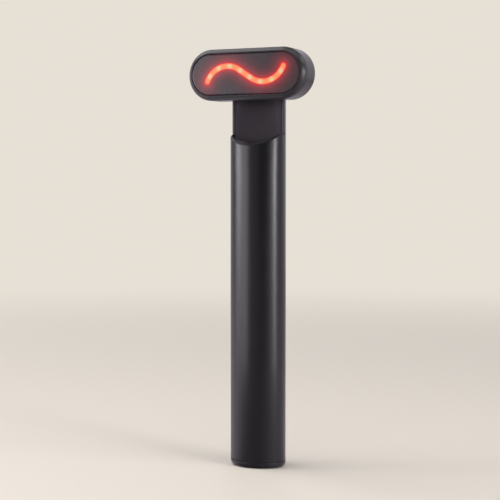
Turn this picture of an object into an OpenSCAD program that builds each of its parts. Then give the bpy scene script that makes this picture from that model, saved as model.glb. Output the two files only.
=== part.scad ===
// Red light therapy wand: an oval metal handle whose flat neck carries a swivelling T-shaped head.
// Millimetres. The origin is the middle of the base, +Z runs up the handle, and the head faces -Y.

/* [Handle] */
// Width of the oval handle, left to right
handle_w = 20.9; // [20:0.1:22.5]
// Depth of the oval handle, front to back
handle_d = 16; // [15:0.1:17]
// Radius of the oval's two narrow ends
handle_end_r = 6.4; // [6:0.1:6.8]
// Wall of the metal sleeve
sleeve_wall = 0.9; // [0.7:0.05:1]
// Height of the head's pivot above the base
pivot_z = 141.8; // [138:0.1:160]
// Rise of the neck's rounded top above the pivot
neck_rise = 8.4; // [7.5:0.1:8.8]
// Radius of the neck's rounded top, seen from the front
neck_dome_r = 12; // [11.8:0.1:15]
// How far the sleeve's cut edges stand in front of the neck's flat face
edge_proud = 0.4; // [0.2:0.05:0.45]

/* [Scoop] */
// Room between the turning head and the tips of the scoop
swing_gap = 0.35; // [0.3:0.05:0.6]
// Room between the turning head and the lowest point of the scoop
scoop_drop = 1.7; // [1.2:0.1:3]
// Wall under the scoop, and under the neck's rounded top
scoop_wall = 1.4; // [1:0.1:1.8]
// How far the scoop's rounded outer lip reaches down the sleeve and across its wall
lip_w = 0.65; // [0.4:0.05:0.7]

/* [Neck cover] */
// Thickness of the flat plate that carries the pivot
plate_t = 1.8; // [1.5:0.1:2]
// Radius of the plate's two upright front edges
plate_edge_r = 1.2; // [0.6:0.1:1.4]
// Depth of the collar that reaches down into the sleeve, below the scoop
collar_h = 8; // [6:0.5:9]
// Wall of the collar
collar_wall = 1.1; // [0.8:0.1:1.3]
// Play between the plastic inner parts and the sleeve
sleeve_fit = 0.05; // [0.03:0.01:0.1]

/* [Head] */
// Length of the head
head_l = 46.2; // [43:0.1:49]
// Height of the head
head_h = 18.3; // [17.8:0.1:19]
// Thickness of the head, back to front
head_t = 10.2; // [10:0.1:11]
// Space between the neck's flat face and the back of the head
head_gap = 0.7; // [0.7:0.05:0.9]
// Wall of the rear shell
shell_wall = 1.3; // [1:0.1:1.4]
// Radius of the rear shell's back edge
shell_edge_r = 1.2; // [0.4:0.1:1.6]
// Width of the bezel's front rim
bezel_w = 1.85; // [1.7:0.05:2.2]
// Radius of the bezel's rounded front edge
bezel_edge_r = 1.75; // [1.2:0.05:1.8]
// Height of the bezel's outer band
bezel_band = 2; // [1.9:0.05:2.2]
// Width of the ledge that the front panel rests on
bezel_ledge = 1; // [0.6:0.1:1.2]
// Depth of the bezel's skirt inside the rear shell
bezel_skirt_h = 1.5; // [1.2:0.1:1.8]
// Wall of the bezel's skirt
bezel_skirt_wall = 0.9; // [0.7:0.1:1]
// Thickness of the seam gasket
gasket_t = 0.3; // [0.2:0.05:0.4]
// How far the gaskets sit back from the outside
gasket_inset = 0.25; // [0.1:0.05:0.4]
// Thickness of the front panel
panel_t = 1.5; // [1.2:0.1:1.6]
// Bevel on the front panel's edge
panel_bevel = 0.2; // [0.1:0.05:0.3]
// Gap round the front panel
panel_gap = 0.12; // [0.05:0.01:0.2]

/* [Light] */
// Width of the wave-shaped light guide
wave_w = 2.2; // [1.8:0.1:2.4]
// Distance from the middle of the guide's tips to the panel's two ends
wave_margin = 6.3; // [6:0.1:7]
// Slope of the wave's straight middle stretch, in degrees
wave_slope = 33; // [25:1:36]
// Length of the straight middle stretch
wave_mid = 5.6; // [4:0.1:6.5]
// Turn of each bend, in degrees
wave_turn = 100; // [85:1:102]
// How much larger than half the guide's width the radius of its rounded tips is
wave_tip_ease = 0.15; // [0.1:0.05:0.3]
// How far the guide's flange reaches past the slot
guide_flange = 0.8; // [0.6:0.1:0.9]
// Thickness of the guide's flange
guide_flange_t = 0.8; // [0.6:0.1:0.9]
// How far the guide reaches back past its flange
guide_foot = 0.4; // [0.3:0.05:0.5]
// Play between the guide and its slot
guide_fit = 0.03; // [0.02:0.01:0.06]
// Number of light diodes
led_count = 8; // [5:1:9]
// Distance from the wave's ends to the first and last diode
led_margin = 2.05; // [1.5:0.05:3]
// Width of a diode
led_w = 2; // [1.6:0.1:2.2]
// Length of a diode, up the board
led_l = 1.6; // [1.4:0.1:2]
// Height of a diode
led_h = 0.8; // [0.6:0.1:0.9]
// Room between the diodes and the guide
led_gap = 0.3; // [0.2:0.05:0.4]
// Thickness of the diode board
led_board_t = 1; // [0.8:0.1:1.2]
// Distance of the diode board's screws from its round ends' middle
led_screw_reach = 4.4; // [4:0.1:4.8]
// Thickness of the warming film
film_t = 0.2; // [0.1:0.05:0.3]
// Gap round the warming film
film_gap = 0.15; // [0.1:0.05:0.2]
// Radius of a contact pin's barrel
pin_r = 0.7; // [0.6:0.05:0.8]
// Height of a contact pin's barrel
pin_h = 1; // [0.8:0.1:1.2]
// Radius of a contact pin's sprung tip
pin_tip_r = 0.4; // [0.3:0.05:0.5]
// Distance of the contact pins from the pivot, across
pin_x = 1.5; // [1.2:0.1:2]
// Distance of the contact pins from the pivot, up and down
pin_y = 4.6; // [4.5:0.05:4.8]
// Width of the wire socket on the diode board
socket_w = 6; // [5.6:0.1:6.4]
// Height of the wire socket
socket_h = 4; // [3.8:0.1:4.4]
// Thickness of the wire socket
socket_t = 1.4; // [1.2:0.1:1.6]

/* [Swivel] */
// Radius of the hollow hub that the head turns on
hub_r = 3.5; // [3.2:0.1:3.8]
// Radius of the hub's bore, which the wires pass through
hub_bore_r = 2.2; // [1.8:0.1:2.3]
// Radius of the hub's flange
hub_flange_r = 6.8; // [6.5:0.1:7.2]
// Thickness of the hub's flange
hub_flange_t = 1.2; // [1:0.1:1.4]
// Play between the hub and its bearing
hub_play = 0.05; // [0.03:0.01:0.08]
// Radius of the washer in front of the neck
front_washer_r = 5.1; // [4.6:0.1:5.3]
// Thickness of the washer in front of the neck
front_washer_t = 0.6; // [0.5:0.05:0.65]
// Radius of the thrust washer behind the neck
thrust_washer_r = 5.6; // [5:0.1:6]
// Thickness of the thrust washer
thrust_washer_t = 0.4; // [0.3:0.05:0.5]
// Outer radius of the disc spring
spring_r = 5.3; // [4.9:0.1:5.6]
// Height of the disc spring
spring_h = 0.7; // [0.6:0.05:0.8]
// Sheet thickness of the disc spring
spring_t = 0.25; // [0.2:0.01:0.3]
// Outer radius of the retaining clip
clip_r = 5; // [4.6:0.1:5.4]
// Thickness of the retaining clip
clip_t = 0.5; // [0.4:0.05:0.6]
// Width of the clip's mouth
clip_mouth = 3.6; // [3:0.1:4.2]
// Depth of the hub's groove for the clip
groove_depth = 0.5; // [0.4:0.05:0.6]
// Play of the clip in its groove
groove_play = 0.03; // [0.02:0.01:0.05]
// Length of hub beyond the clip
hub_tail = 0.5; // [0.4:0.05:0.6]
// Distance of the hub's screws from the pivot
hub_screw_ring = 5.2; // [5:0.1:5.4]
// Radius of the stop pin on the back of the head
stop_pin_r = 0.8; // [0.7:0.05:0.9]
// Distance of the stop pin from the pivot
stop_pin_reach = 6.4; // [6.3:0.1:6.8]
// Depth of the stop pin's groove in the neck
stop_groove = 1.1; // [0.9:0.05:1.2]
// Play of the stop pin in its groove
stop_play = 0.15; // [0.1:0.05:0.2]
// Turn of the head each way, in degrees
head_turn = 90; // [80:1:90]

/* [Power button] */
// Height of the button above the base
button_z = 96; // [92:0.5:98]
// Radius of the button
button_r = 3.5; // [3:0.1:3.8]
// How far the button stands out of the handle
button_proud = 0.45; // [0.3:0.05:0.6]
// Travel of the button
button_travel = 0.5; // [0.3:0.05:0.5]
// Play between the button and its hole
button_play = 0.12; // [0.08:0.01:0.2]
// Radius of the button's rounded edge
button_edge_r = 0.4; // [0.2:0.05:0.5]
// Depth of the dish for the fingertip
dish_depth = 0.3; // [0.2:0.05:0.4]
// Radius of the dish's sphere
dish_r = 16; // [12:1:24]
// Reach of the button's flange
button_flange_w = 0.9; // [0.7:0.1:1]
// Thickness of the button's flange
button_flange_t = 0.8; // [0.6:0.1:0.9]
// Radius of the stem that presses the switch
button_stem_r = 1.5; // [1.2:0.1:1.8]
// Length of the stem
button_stem = 0.2; // [0.1:0.05:0.3]
// Thickness of the rubber seal behind the sleeve
seal_t = 0.25; // [0.2:0.05:0.3]
// Room between the seal and the flange while the button is out
seal_gap = 0.1; // [0.05:0.01:0.15]
// Width and height of the tact switch
switch_w = 4.6; // [4.2:0.1:5]
// Thickness of the tact switch
switch_t = 1.4; // [1.2:0.1:1.5]
// Radius of the switch's plunger
plunger_r = 0.9; // [0.7:0.05:1]
// How far the plunger stands out
plunger_l = 0.7; // [0.6:0.05:0.8]
// How far the plunger reaches into the switch
plunger_root = 0.2; // [0.1:0.05:0.25]
// Play between the plunger and the switch
plunger_play = 0.06; // [0.04:0.01:0.1]

/* [Inside the handle] */
// Gap between inner parts that stay apart
part_gap = 0.3; // [0.2:0.05:0.35]
// Gap between inner parts that rest in a seat
seat_gap = 0.1; // [0.05:0.01:0.15]
// Wall of the inner frame
frame_wall = 0.9; // [0.7:0.1:1]
// Thickness of the frame's bulkheads
bulkhead_t = 1.2; // [1:0.1:1.6]
// Number of lightening windows over the cell
window_count = 4; // [2:1:4]
// Width of a lightening window
window_w = 7; // [5:0.5:8]
// Height of a lightening window
window_h = 5; // [3:0.5:6]
// Width of the main board
main_board_w = 12.6; // [12:0.1:13.4]
// Length of the main board
main_board_l = 46; // [44:0.5:47]
// Thickness of the main board
main_board_t = 1; // [0.8:0.1:1.1]
// Distance of the main board's screws from its edges
screw_margin = 1.8; // [1.6:0.1:2]
// Radius of the posts that carry the board
post_r = 1.7; // [1.5:0.1:1.8]
// Width of the controller chip, the largest part on the board
chip_w = 5; // [4.5:0.1:5.5]
// Radius of the battery cell
cell_r = 5; // [4.6:0.1:5]
// Length of the battery cell
cell_l = 42; // [38:0.5:44]
// Radius of the cell's terminal
terminal_r = 2.4; // [2:0.1:2.8]
// Height of the cell's terminal
terminal_h = 0.8; // [0.5:0.1:1]
// Width of a foam pad
pad_w = 6; // [5:0.1:7]
// Height of a foam pad
pad_h = 8; // [6:0.5:10]
// Radius of the vibration motor's can
motor_r = 3; // [2.7:0.1:3]
// Length of the vibration motor's can
motor_l = 12; // [11:0.5:13]
// Thickness of the can's closed end
motor_end_t = 2; // [1.5:0.1:2.5]
// Wall of the motor's rubber boot
boot_wall = 0.7; // [0.5:0.05:0.8]
// How much of the can shows at each end of its boot
boot_short = 1; // [0.5:0.1:1.5]
// Radius of the motor's off-centre weight
weight_r = 2.7; // [2.3:0.1:2.8]
// Length of the weight
weight_l = 3.6; // [3:0.1:4]
// Radius of the weight's hub
weight_hub_r = 1.2; // [0.9:0.1:1.4]
// Space between the can and the weight
weight_gap = 0.8; // [0.6:0.1:1]
// Radius of the motor's shaft
shaft_r = 0.5; // [0.4:0.05:0.6]
// Play of the shaft
shaft_play = 0.04; // [0.03:0.01:0.06]
// Radius of the wire bundle to the head
loom_r = 0.9; // [0.7:0.1:0.9]
// Radius of the bundle's bend behind the hub
loom_bend = 1; // [0.95:0.05:1.2]
// Width of the bundle's plug
plug_w = 4.8; // [4.4:0.1:5]
// Height of the bundle's plug
plug_h = 5; // [4:0.1:5.4]
// Wall of the white plug and socket
plug_wall = 0.8; // [0.6:0.1:0.9]
// Radius of a single wire
lead_r = 0.45; // [0.35:0.05:0.5]
// Radius of a single wire's bends
lead_bend = 1; // [0.8:0.1:1.2]
// Space between the wires and the cell
lead_gap = 0.25; // [0.15:0.05:0.3]
// Height of the wires' landing above the main board's lower end
lead_rise = 5; // [4:0.1:6]

/* [Screws] */
// Radius of every screw's shank
screw_r = 0.5; // [0.4:0.05:0.55]
// Play round a screw in the part that it clamps
screw_play = 0.15; // [0.1:0.05:0.2]
// Radius of a board screw's head
screw_head_r = 1.2; // [1:0.05:1.3]
// Height of a board screw's head
screw_head_h = 0.7; // [0.5:0.05:0.8]
// Length of a board screw's shank
screw_l = 3.6; // [3.2:0.1:3.8]
// Radius of a hub screw's head
hub_screw_head_r = 1.1; // [1:0.05:1.2]
// Height of a hub screw's head
hub_screw_head_h = 0.6; // [0.5:0.05:0.7]
// Length of a hub screw's shank
hub_screw_l = 1.9; // [1.7:0.05:2]
// Width of a screw's cross slot
slot_w = 0.3; // [0.2:0.05:0.4]
// Radius of the bosses that carry the diode board
boss_r = 1.8; // [1.5:0.1:2]

/* [Base] */
// Height of the bottom cap's visible band
cap_h = 2.2; // [2:0.1:3]
// Radius of the bottom cap's rounded edge
cap_edge_r = 1.9; // [1.2:0.1:1.9]
// Depth of the cap's plug inside the sleeve
cap_plug_h = 3.4; // [3:0.1:4]
// Wall of the cap's plug
cap_plug_wall = 1.1; // [0.9:0.1:1.3]
// Thickness of the cap's gasket
cap_gasket_t = 0.25; // [0.15:0.05:0.4]
// Width of the charging socket
port_w = 8.94; // [8.9:0.01:9]
// Height of the charging socket
port_h = 3.16; // [3.1:0.01:3.2]
// Depth of the charging socket
port_l = 7.3; // [6.8:0.1:7.6]
// Wall of the socket's metal shell
port_wall = 0.3; // [0.2:0.05:0.35]
// How far the socket sits back from the base
port_inset = 0.5; // [0.2:0.1:1]
// Gap round the socket in the cap
port_gap = 0.15; // [0.1:0.05:0.3]
// Width of the socket's contact tongue
tongue_w = 6.7; // [6.4:0.1:6.9]
// Thickness of the contact tongue
tongue_t = 0.7; // [0.6:0.05:0.8]
// How far the tongue sits back in the socket
tongue_inset = 0.5; // [0.3:0.1:0.8]
// Width of the charging board
charge_board_w = 12.6; // [12:0.1:13]
// Length of the charging board
charge_board_l = 12.5; // [12:0.1:14]
// Thickness of the charging board
charge_board_t = 0.8; // [0.6:0.1:1]

/* [Hidden] */
$fn = 72;

// Colours
satin_black = "#29282c";
soft_black = "#37353a";
gloss_black = "#4b494f";
smoked = "#5a5055";
glow_red = "#ff5a36";
board_green = "#1d4d36";
chip_black = "#26262a";
steel = "#b9bcc0";
brass = "#c8a24a";
rubber = "#1c1b1d";
natural_white = "#e6e2d8";

// How far a cut reaches past the face it opens, and how far joined shapes sink into each other
past = 1;
overlap = 0.3;
far = 60;

// The oval has four arcs that meet smoothly: two ends and two faces
half_w = handle_w / 2;
half_d = handle_d / 2;
end_x = half_w - handle_end_r;
face_r = (pow(end_x, 2) + pow(half_d, 2) - pow(handle_end_r, 2)) / (2 * (half_d - handle_end_r));
face_y = face_r - half_d;
blend_angle = atan(end_x / face_y);

// Depth of the handle's back face behind the axis, at a distance to the side
function face_depth(x, inset) = sqrt(pow(face_r - inset, 2) - pow(x, 2)) - face_y;

// The scoop is the arc through both tips and the lowest point
scoop_z = pivot_z - head_l / 2 - scoop_drop;
scoop_tip_z = pivot_z - sqrt(pow(head_l / 2 + swing_gap, 2) - pow(half_w, 2));
scoop_sag = scoop_tip_z - scoop_z;
scoop_r = (pow(half_w, 2) + pow(scoop_sag, 2)) / (2 * scoop_sag);
scoop_mid_z = scoop_z + scoop_r;
neck_top_z = pivot_z + neck_rise;
dome_mid_z = neck_top_z - neck_dome_r;
sleeve_z = cap_h + cap_gasket_t;

// Inside faces of the handle
inner_inset = sleeve_wall + sleeve_fit;
frame_inset = inner_inset + frame_wall;
collar_z = scoop_z - scoop_wall - collar_h;

// Depths in the head, counted forward from the neck's flat face
head_run = head_l - head_h;
head_r = head_h / 2;
front_z = head_gap + head_t;
shell_floor = head_gap + shell_wall;
panel_back = front_z - panel_t;
bezel_z = front_z - bezel_band;
gasket_z = bezel_z - gasket_t;
shell_inner_r = head_r - shell_wall;
skirt_r = shell_inner_r - sleeve_fit;
panel_r = head_r - bezel_w;
flange_back = panel_back - guide_flange_t;
guide_back = flange_back - guide_foot;
led_board_front = guide_back - led_gap - led_h;
led_board_back = led_board_front - led_board_t;
led_board_r = shell_inner_r - part_gap;
led_screw_x = head_run / 2 + led_screw_reach;
socket_back = led_board_back - socket_t;
hub_flange_top = shell_floor + hub_flange_t;

// Depths behind the neck's plate, counted back from the flat face
thrust_washer_back = plate_t + thrust_washer_t;
spring_front = thrust_washer_back + hub_play;
clip_front = spring_front + spring_h;
clip_back = clip_front + clip_t;
hub_back = clip_back + hub_tail;

// The wave: a straight middle with one bend at each end, the same when turned half round. The bends'
// radius is the one that sets both tips at the wanted distance from the panel's ends.
wave_start = 90 - wave_slope;
wave_run = head_run / 2 + panel_r - wave_margin - wave_mid / 2 * cos(wave_slope);
wave_tip = wave_start + wave_turn;
wave_bend_r = wave_run / (sin(wave_slope) - cos(wave_tip));
wave_join = wave_mid / 2 * [-cos(wave_slope), sin(wave_slope)];
wave_hub = wave_join - wave_bend_r * [sin(wave_slope), cos(wave_slope)];
wave_arc_len = wave_bend_r * wave_turn * PI / 180;
wave_half_len = wave_arc_len + wave_mid / 2;
guide_seat_w = wave_w + 2 * guide_flange;

// Point at a distance along the wave's middle line, from its left end
function wave_point(s) =
    s > wave_half_len ? -wave_point(2 * wave_half_len - s) :
    s < wave_arc_len ? wave_hub + wave_bend_r * wave_ray(wave_tip - s / wave_bend_r * 180 / PI) :
    wave_join * (wave_half_len - s) * 2 / wave_mid;
function wave_ray(angle) = [cos(angle), sin(angle)];

led_step = (2 * wave_half_len - 2 * led_margin) / (led_count - 1);
led_spots = [for (i = [0 : led_count - 1]) wave_point(led_margin + i * led_step)];
pin_spots = [[pin_x, pin_y], [-pin_x, -pin_y]];

// Depths of the button's stack, counted back from the handle's axis. It hangs on the sleeve's inner
// back face, and the main board stands in front of it, at a hundredth of a millimetre.
button_reach = button_r + button_flange_w;
button_face = half_d + button_proud;
seal_back = face_depth(button_reach, inner_inset);
button_floor = seal_back - seal_t - seal_gap - button_flange_t;
board_y = floor(100 * (button_floor - button_stem - plunger_l - switch_t - main_board_t)) / 100;
board_back = board_y + main_board_t;
switch_back = board_back + switch_t;
plunger_back = switch_back + plunger_l;

// Places inside the handle
board_top_z = scoop_z - scoop_wall - post_r / 2;
board_z = board_top_z - main_board_l;
board_screw_x = main_board_w / 2 - screw_margin;
upper_screw_z = board_top_z - screw_margin;
lower_screw_z = board_z + screw_margin;
upper_screw_spots = [[-board_screw_x, upper_screw_z], [board_screw_x, upper_screw_z]];
board_screw_spots = [each upper_screw_spots, [0, lower_screw_z]];
charge_board_y = port_h / 2;
charge_board_z = sleeve_z + part_gap;
charge_board_top = charge_board_z + charge_board_l;
charge_lead_z = charge_board_top - charge_board_l / 4;
cell_z = charge_board_top + 2 * lead_r + seat_gap;
cell_y = -(half_d - frame_inset - cell_r - seat_gap);
cell_top_z = cell_z + cell_l;
pad_margin = cell_l / 8;
window_step = cell_l / (window_count + 1);
motor_z = button_z - motor_l;
motor_y = -(half_d - frame_inset - motor_r - boot_wall - seat_gap);
weight_z = motor_z + motor_l + weight_gap;
frame_z = sleeve_z + cap_plug_h + part_gap;
frame_top_z = collar_z - part_gap;
lead_x = cell_r + lead_r + lead_gap;
lead_top_z = board_z + lead_rise;
plug_z = board_top_z - plug_h - screw_margin;
loom_back = hub_back + seat_gap;
loom_y = loom_back + loom_bend;
pilot_depth = screw_l - main_board_t + part_gap;

// Parts on the board: middle across and up as shares of the board, then width, length and height
// as shares of the controller's width. They are the controller, charger, coil and two capacitors.
chips = [
    [0, 0.32, 1, 1, 0.18],
    [0.21, 0.17, 0.6, 0.6, 0.16],
    [-0.21, 0.17, 0.8, 0.8, 0.28],
    [-0.36, 0.42, 0.32, 0.16, 0.16],
    [0.36, 0.42, 0.32, 0.16, 0.16]
];

// Rounded edges that run round the oval are cut by a swept tool. Its cross-section has a corner
// outside the edge, then an arc that touches both faces. The arc's first and last points slip outside
// by a little, so that the cut crosses both faces at a clear angle.
fillet_steps = 7;
fillet_slip = 0.02;

// Cross-section at an edge point between two faces, given by their outward directions
function fillet_section(edge, out, up, w) =
    let (
        between = acos(out * up),
        r = w / tan(between / 2),
        middle = edge - r * (out + up) / (1 + out * up)
    )
    [
        edge + w * (out + up),
        for (i = [0 : fillet_steps])
            let (
                share = i / fillet_steps,
                ray = (sin((1 - share) * between) * out + sin(share * between) * up) / sin(between),
                slip = i == 0 ? out : i == fillet_steps ? up : [0, 0, 0]
            )
            middle + r * ray + fillet_slip * slip
    ];

// Point of the oval whose outward direction is turned this far from straight ahead, seen from above
function oval_point(turn) =
    abs(sin(turn)) < sin(blend_angle) ?
    [face_r * sin(turn), sign(cos(turn)) * (face_y - face_r * abs(cos(turn)))] :
    [sign(sin(turn)) * end_x + handle_end_r * sin(turn), -handle_end_r * cos(turn)];
function oval_out(turn) = [sin(turn), -cos(turn), 0];

// Where the scoop's arc crosses the oval, and the scoop's outward direction there
function lip_point(turn) =
    let (spot = oval_point(turn))
    [spot[0], spot[1], scoop_mid_z - sqrt(pow(scoop_r, 2) - pow(spot[0], 2))];
function lip_up(turn) =
    let (spot = lip_point(turn))
    [-spot[0], 0, scoop_mid_z - spot[2]] / scoop_r;

lip_rows = [for (turn = [-90 : 5 : 90]) fillet_section(lip_point(turn), oval_out(turn), lip_up(turn), lip_w)];
base_rows = [for (turn = [0 : 4 : 356])
    fillet_section([each oval_point(turn), 0], oval_out(turn), [0, 0, -1], cap_edge_r)];

// Everything in the head is drawn facing the user: x right, y up, z forward from the neck's flat face
module facing() {
    translate([0, 0, pivot_z]) rotate([90, 0, 0]) children();
}

// The handle's oval outline, drawn in from the outside by an inset. Both faces are the lens of two
// large discs, and each end is what a small disc leaves of the lens.
module oval(inset = 0) {
    end = handle_end_r - inset;
    face = face_r - inset;
    join_x = end_x + end * sin(blend_angle);
    difference() {
        intersection() {
            translate([0, -face_y]) circle(face);
            translate([0, face_y]) circle(face);
        }
        for (side = [0, 180])
            rotate(side)
                difference() {
                    translate([join_x, -half_d]) square([half_w, handle_d]);
                    translate([end_x, 0]) circle(end);
                }
    }
}

// An oval ring, standing from one height to another
module oval_ring(inset, wall, from, to) {
    translate([0, 0, from])
        linear_extrude(to - from)
            difference() {
                oval(inset);
                oval(inset + wall);
            }
}

// A solid oval, standing from one height to another
module oval_block(inset, from, to) {
    translate([0, 0, from]) linear_extrude(to - from) oval(inset);
}

// Half of a disc, on the +y side
module half_disc(r) {
    intersection() {
        circle(r);
        translate([-r, 0]) square([2 * r, r]);
    }
}

// The space above the scoop's arc, seen from the front
module scoop_outline(reach = 0) {
    translate([0, scoop_mid_z]) {
        rotate(180) half_disc(scoop_r + reach);
        translate([-scoop_r - reach, 0]) square([2 * (scoop_r + reach), far]);
    }
}

// The space under the neck's rounded top, seen from the front
module dome_outline(inset = 0) {
    r = neck_dome_r - inset;
    translate([0, dome_mid_z]) {
        half_disc(r);
        translate([-r, -dome_mid_z - past]) square([2 * r, dome_mid_z + past]);
    }
}

// Pushes a front view through the handle from one depth to another, both counted back from the axis
module through(from, to) {
    translate([0, to, 0]) rotate([90, 0, 0]) linear_extrude(to - from) children();
}

// The part of the handle that lies behind a depth
module behind(depth) {
    translate([-far / 2, depth, 0]) cube([far, far, 3 * far]);
}

// A round pin or hole across the handle, at x and z, from one depth to another
module across(x, z, r, from, to) {
    translate([x, to, z]) rotate([90, 0, 0]) cylinder(r = r, h = to - from);
}

// A slab from the front of the handle back to a depth, from a height up
module slab(w, depth, from, h) {
    translate([-w / 2, -half_d, from]) cube([w, half_d + depth, h]);
}

// A bar with round ends, in the head's own proportions
module head_shape(r) {
    square([head_run, 2 * r], center = true);
    for (side = [-90, 90])
        rotate(side) translate([0, head_run / 2]) half_disc(r);
}

// A flat bar with round ends, from one depth to another
module head_block(r, from, to) {
    translate([0, 0, from]) linear_extrude(to - from) head_shape(r);
}

// Turns a profile round the head: x is the distance out from its long middle line, y is the depth
module round_the_head() {
    for (side = [0, 180])
        rotate([0, 0, side]) {
            translate([head_run / 2, 0, 0]) rotate_extrude(angle = 180, start = -90) children();
            translate([-head_run / 2, 0, 0]) rotate([90, 0, 90]) linear_extrude(head_run) children();
        }
}

// The wave seen from the front, at a given width
module wave_shape(w) {
    rotate(-wave_slope) {
        square([wave_mid, w], center = true);
        for (side = [0, 180])
            rotate(side) translate([-wave_mid / 2, -wave_bend_r])
                intersection() {
                    difference() {
                        circle(wave_bend_r + w / 2);
                        circle(wave_bend_r - w / 2);
                    }
                    translate([-far, -far]) square([far, 2 * far]);
                    rotate(wave_turn) {
                        translate([0, -far]) square([far, 2 * far]);
                        translate([0, wave_bend_r]) circle(w / 2 + wave_tip_ease);
                    }
                }
    }
}

// A ring from one depth to another
module ring(inner, outer, from, to) {
    translate([0, 0, from])
        difference() {
            cylinder(r = outer, h = to - from);
            translate([0, 0, -past]) cylinder(r = inner, h = to - from + 2 * past);
        }
}

// A pan-head screw pointing down from z = 0, with a cross slot
module screw(head_r, head_h, length) {
    difference() {
        cylinder(r = head_r, h = head_h);
        for (turn = [0, 90])
            rotate(turn) translate([0, 0, head_h]) cube([1.4 * head_r, slot_w, head_h], center = true);
    }
    translate([0, 0, -length]) cylinder(r = screw_r, h = length);
}

// Places its children at each of the hub's three screws
module at_hub_screws() {
    for (i = [0 : 2])
        rotate(90 + i * 120) translate([hub_screw_ring, 0, 0]) children();
}

// Places its children at both of the diode board's screws
module at_led_screws() {
    for (side = [-1, 1])
        translate([side * led_screw_x, 0, 0]) children();
}

// Handle

// The tool that rounds an edge, swept through its cross-sections, and closed on itself for a ring
module fillet_tool(rows, closed = false) {
    size = len(rows[0]);
    last = len(rows) - 1;
    polyhedron(
        points = [for (row = rows) each row],
        faces = [
            if (!closed)
                for (k = [1 : size - 2])
                    each [[0, k + 1, k], [last * size, last * size + k, last * size + k + 1]],
            for (i = [0 : closed ? last : last - 1], k = [0 : size - 1])
                let (
                    here = i * size,
                    next = (i + 1) % (last + 1) * size,
                    side = (k + 1) % size
                )
                each [[here + k, here + side, next + side], [here + k, next + side, next + k]]
        ]
    );
}

module handle_sleeve() {
    color(satin_black)
        difference() {
            intersection() {
                oval_ring(0, sleeve_wall, sleeve_z, neck_top_z + past);
                through(-half_d - past, half_d + past) dome_outline();
            }
            through(-half_d - past, -edge_proud) scoop_outline();
            intersection() {
                fillet_tool(lip_rows);
                translate([-far / 2, -far - edge_proud, 0]) cube([far, far, pivot_z]);
            }
            across(0, button_z, button_r + button_play, half_d / 2, half_d + past);
        }
}

// The flat plate's section seen from above: two rounded front edges
module plate_section() {
    side = half_w - inner_inset;
    intersection() {
        oval(inner_inset);
        union() {
            translate([-side, plate_edge_r]) square([2 * side, plate_t - plate_edge_r]);
            translate([plate_edge_r - side, 0]) square([2 * (side - plate_edge_r), plate_edge_r]);
            for (end = [-1, 1])
                intersection() {
                    translate([end * (side - plate_edge_r), plate_edge_r]) circle(plate_edge_r);
                    translate([end * (side - plate_edge_r / 2), plate_edge_r / 2])
                        square(plate_edge_r, center = true);
                }
        }
    }
}

// The groove that the head's stop pin runs in, seen from the front
module stop_track() {
    w = stop_pin_r + stop_play;
    intersection() {
        difference() {
            circle(stop_pin_reach + w);
            circle(stop_pin_reach - w);
        }
        rotate(head_turn) translate([-far, -far]) square([far, 2 * far]);
        rotate(-head_turn) translate([0, -far]) square([far, 2 * far]);
    }
    for (side = [-1, 1])
        rotate(side * head_turn) translate([0, -stop_pin_reach]) rotate(-side * 90) half_disc(w);
}

module neck_cover() {
    color(soft_black)
        difference() {
            union() {
                // Flat plate between the scoop and the rounded top
                intersection() {
                    linear_extrude(neck_top_z) plate_section();
                    through(-past, plate_t + past)
                        intersection() {
                            scoop_outline(scoop_wall / 2);
                            dome_outline();
                        }
                }
                // Curved floor of the scoop, and the collar under it
                intersection() {
                    oval_block(inner_inset, collar_z, neck_top_z);
                    union() {
                        through(-half_d, plate_t)
                            difference() {
                                scoop_outline(scoop_wall);
                                scoop_outline();
                                translate([-far / 2, scoop_tip_z + scoop_wall]) square([far, far]);
                            }
                        difference() {
                            oval_ring(inner_inset, collar_wall, collar_z, scoop_tip_z);
                            through(-half_d - past, half_d + past) scoop_outline(scoop_wall / 2);
                            behind(board_y - part_gap);
                        }
                    }
                }
                // Rounded top that closes the sleeve
                intersection() {
                    oval_block(inner_inset, dome_mid_z, neck_top_z + past);
                    through(plate_t / 2, half_d)
                        difference() {
                            dome_outline();
                            dome_outline(scoop_wall);
                        }
                }
                // Posts that carry the top of the main board
                for (spot = upper_screw_spots)
                    intersection() {
                        across(spot[0], spot[1], post_r, -half_d, board_y);
                        oval_block(inner_inset, collar_z, neck_top_z);
                    }
            }
            for (spot = upper_screw_spots)
                across(spot[0], spot[1], screw_r, board_y - pilot_depth, board_y + past);
            facing() {
                translate([0, 0, -plate_t - past])
                    cylinder(r = hub_r + hub_play, h = plate_t + 2 * past);
                translate([0, 0, -stop_groove]) linear_extrude(stop_groove + past) stop_track();
            }
        }
}

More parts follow.
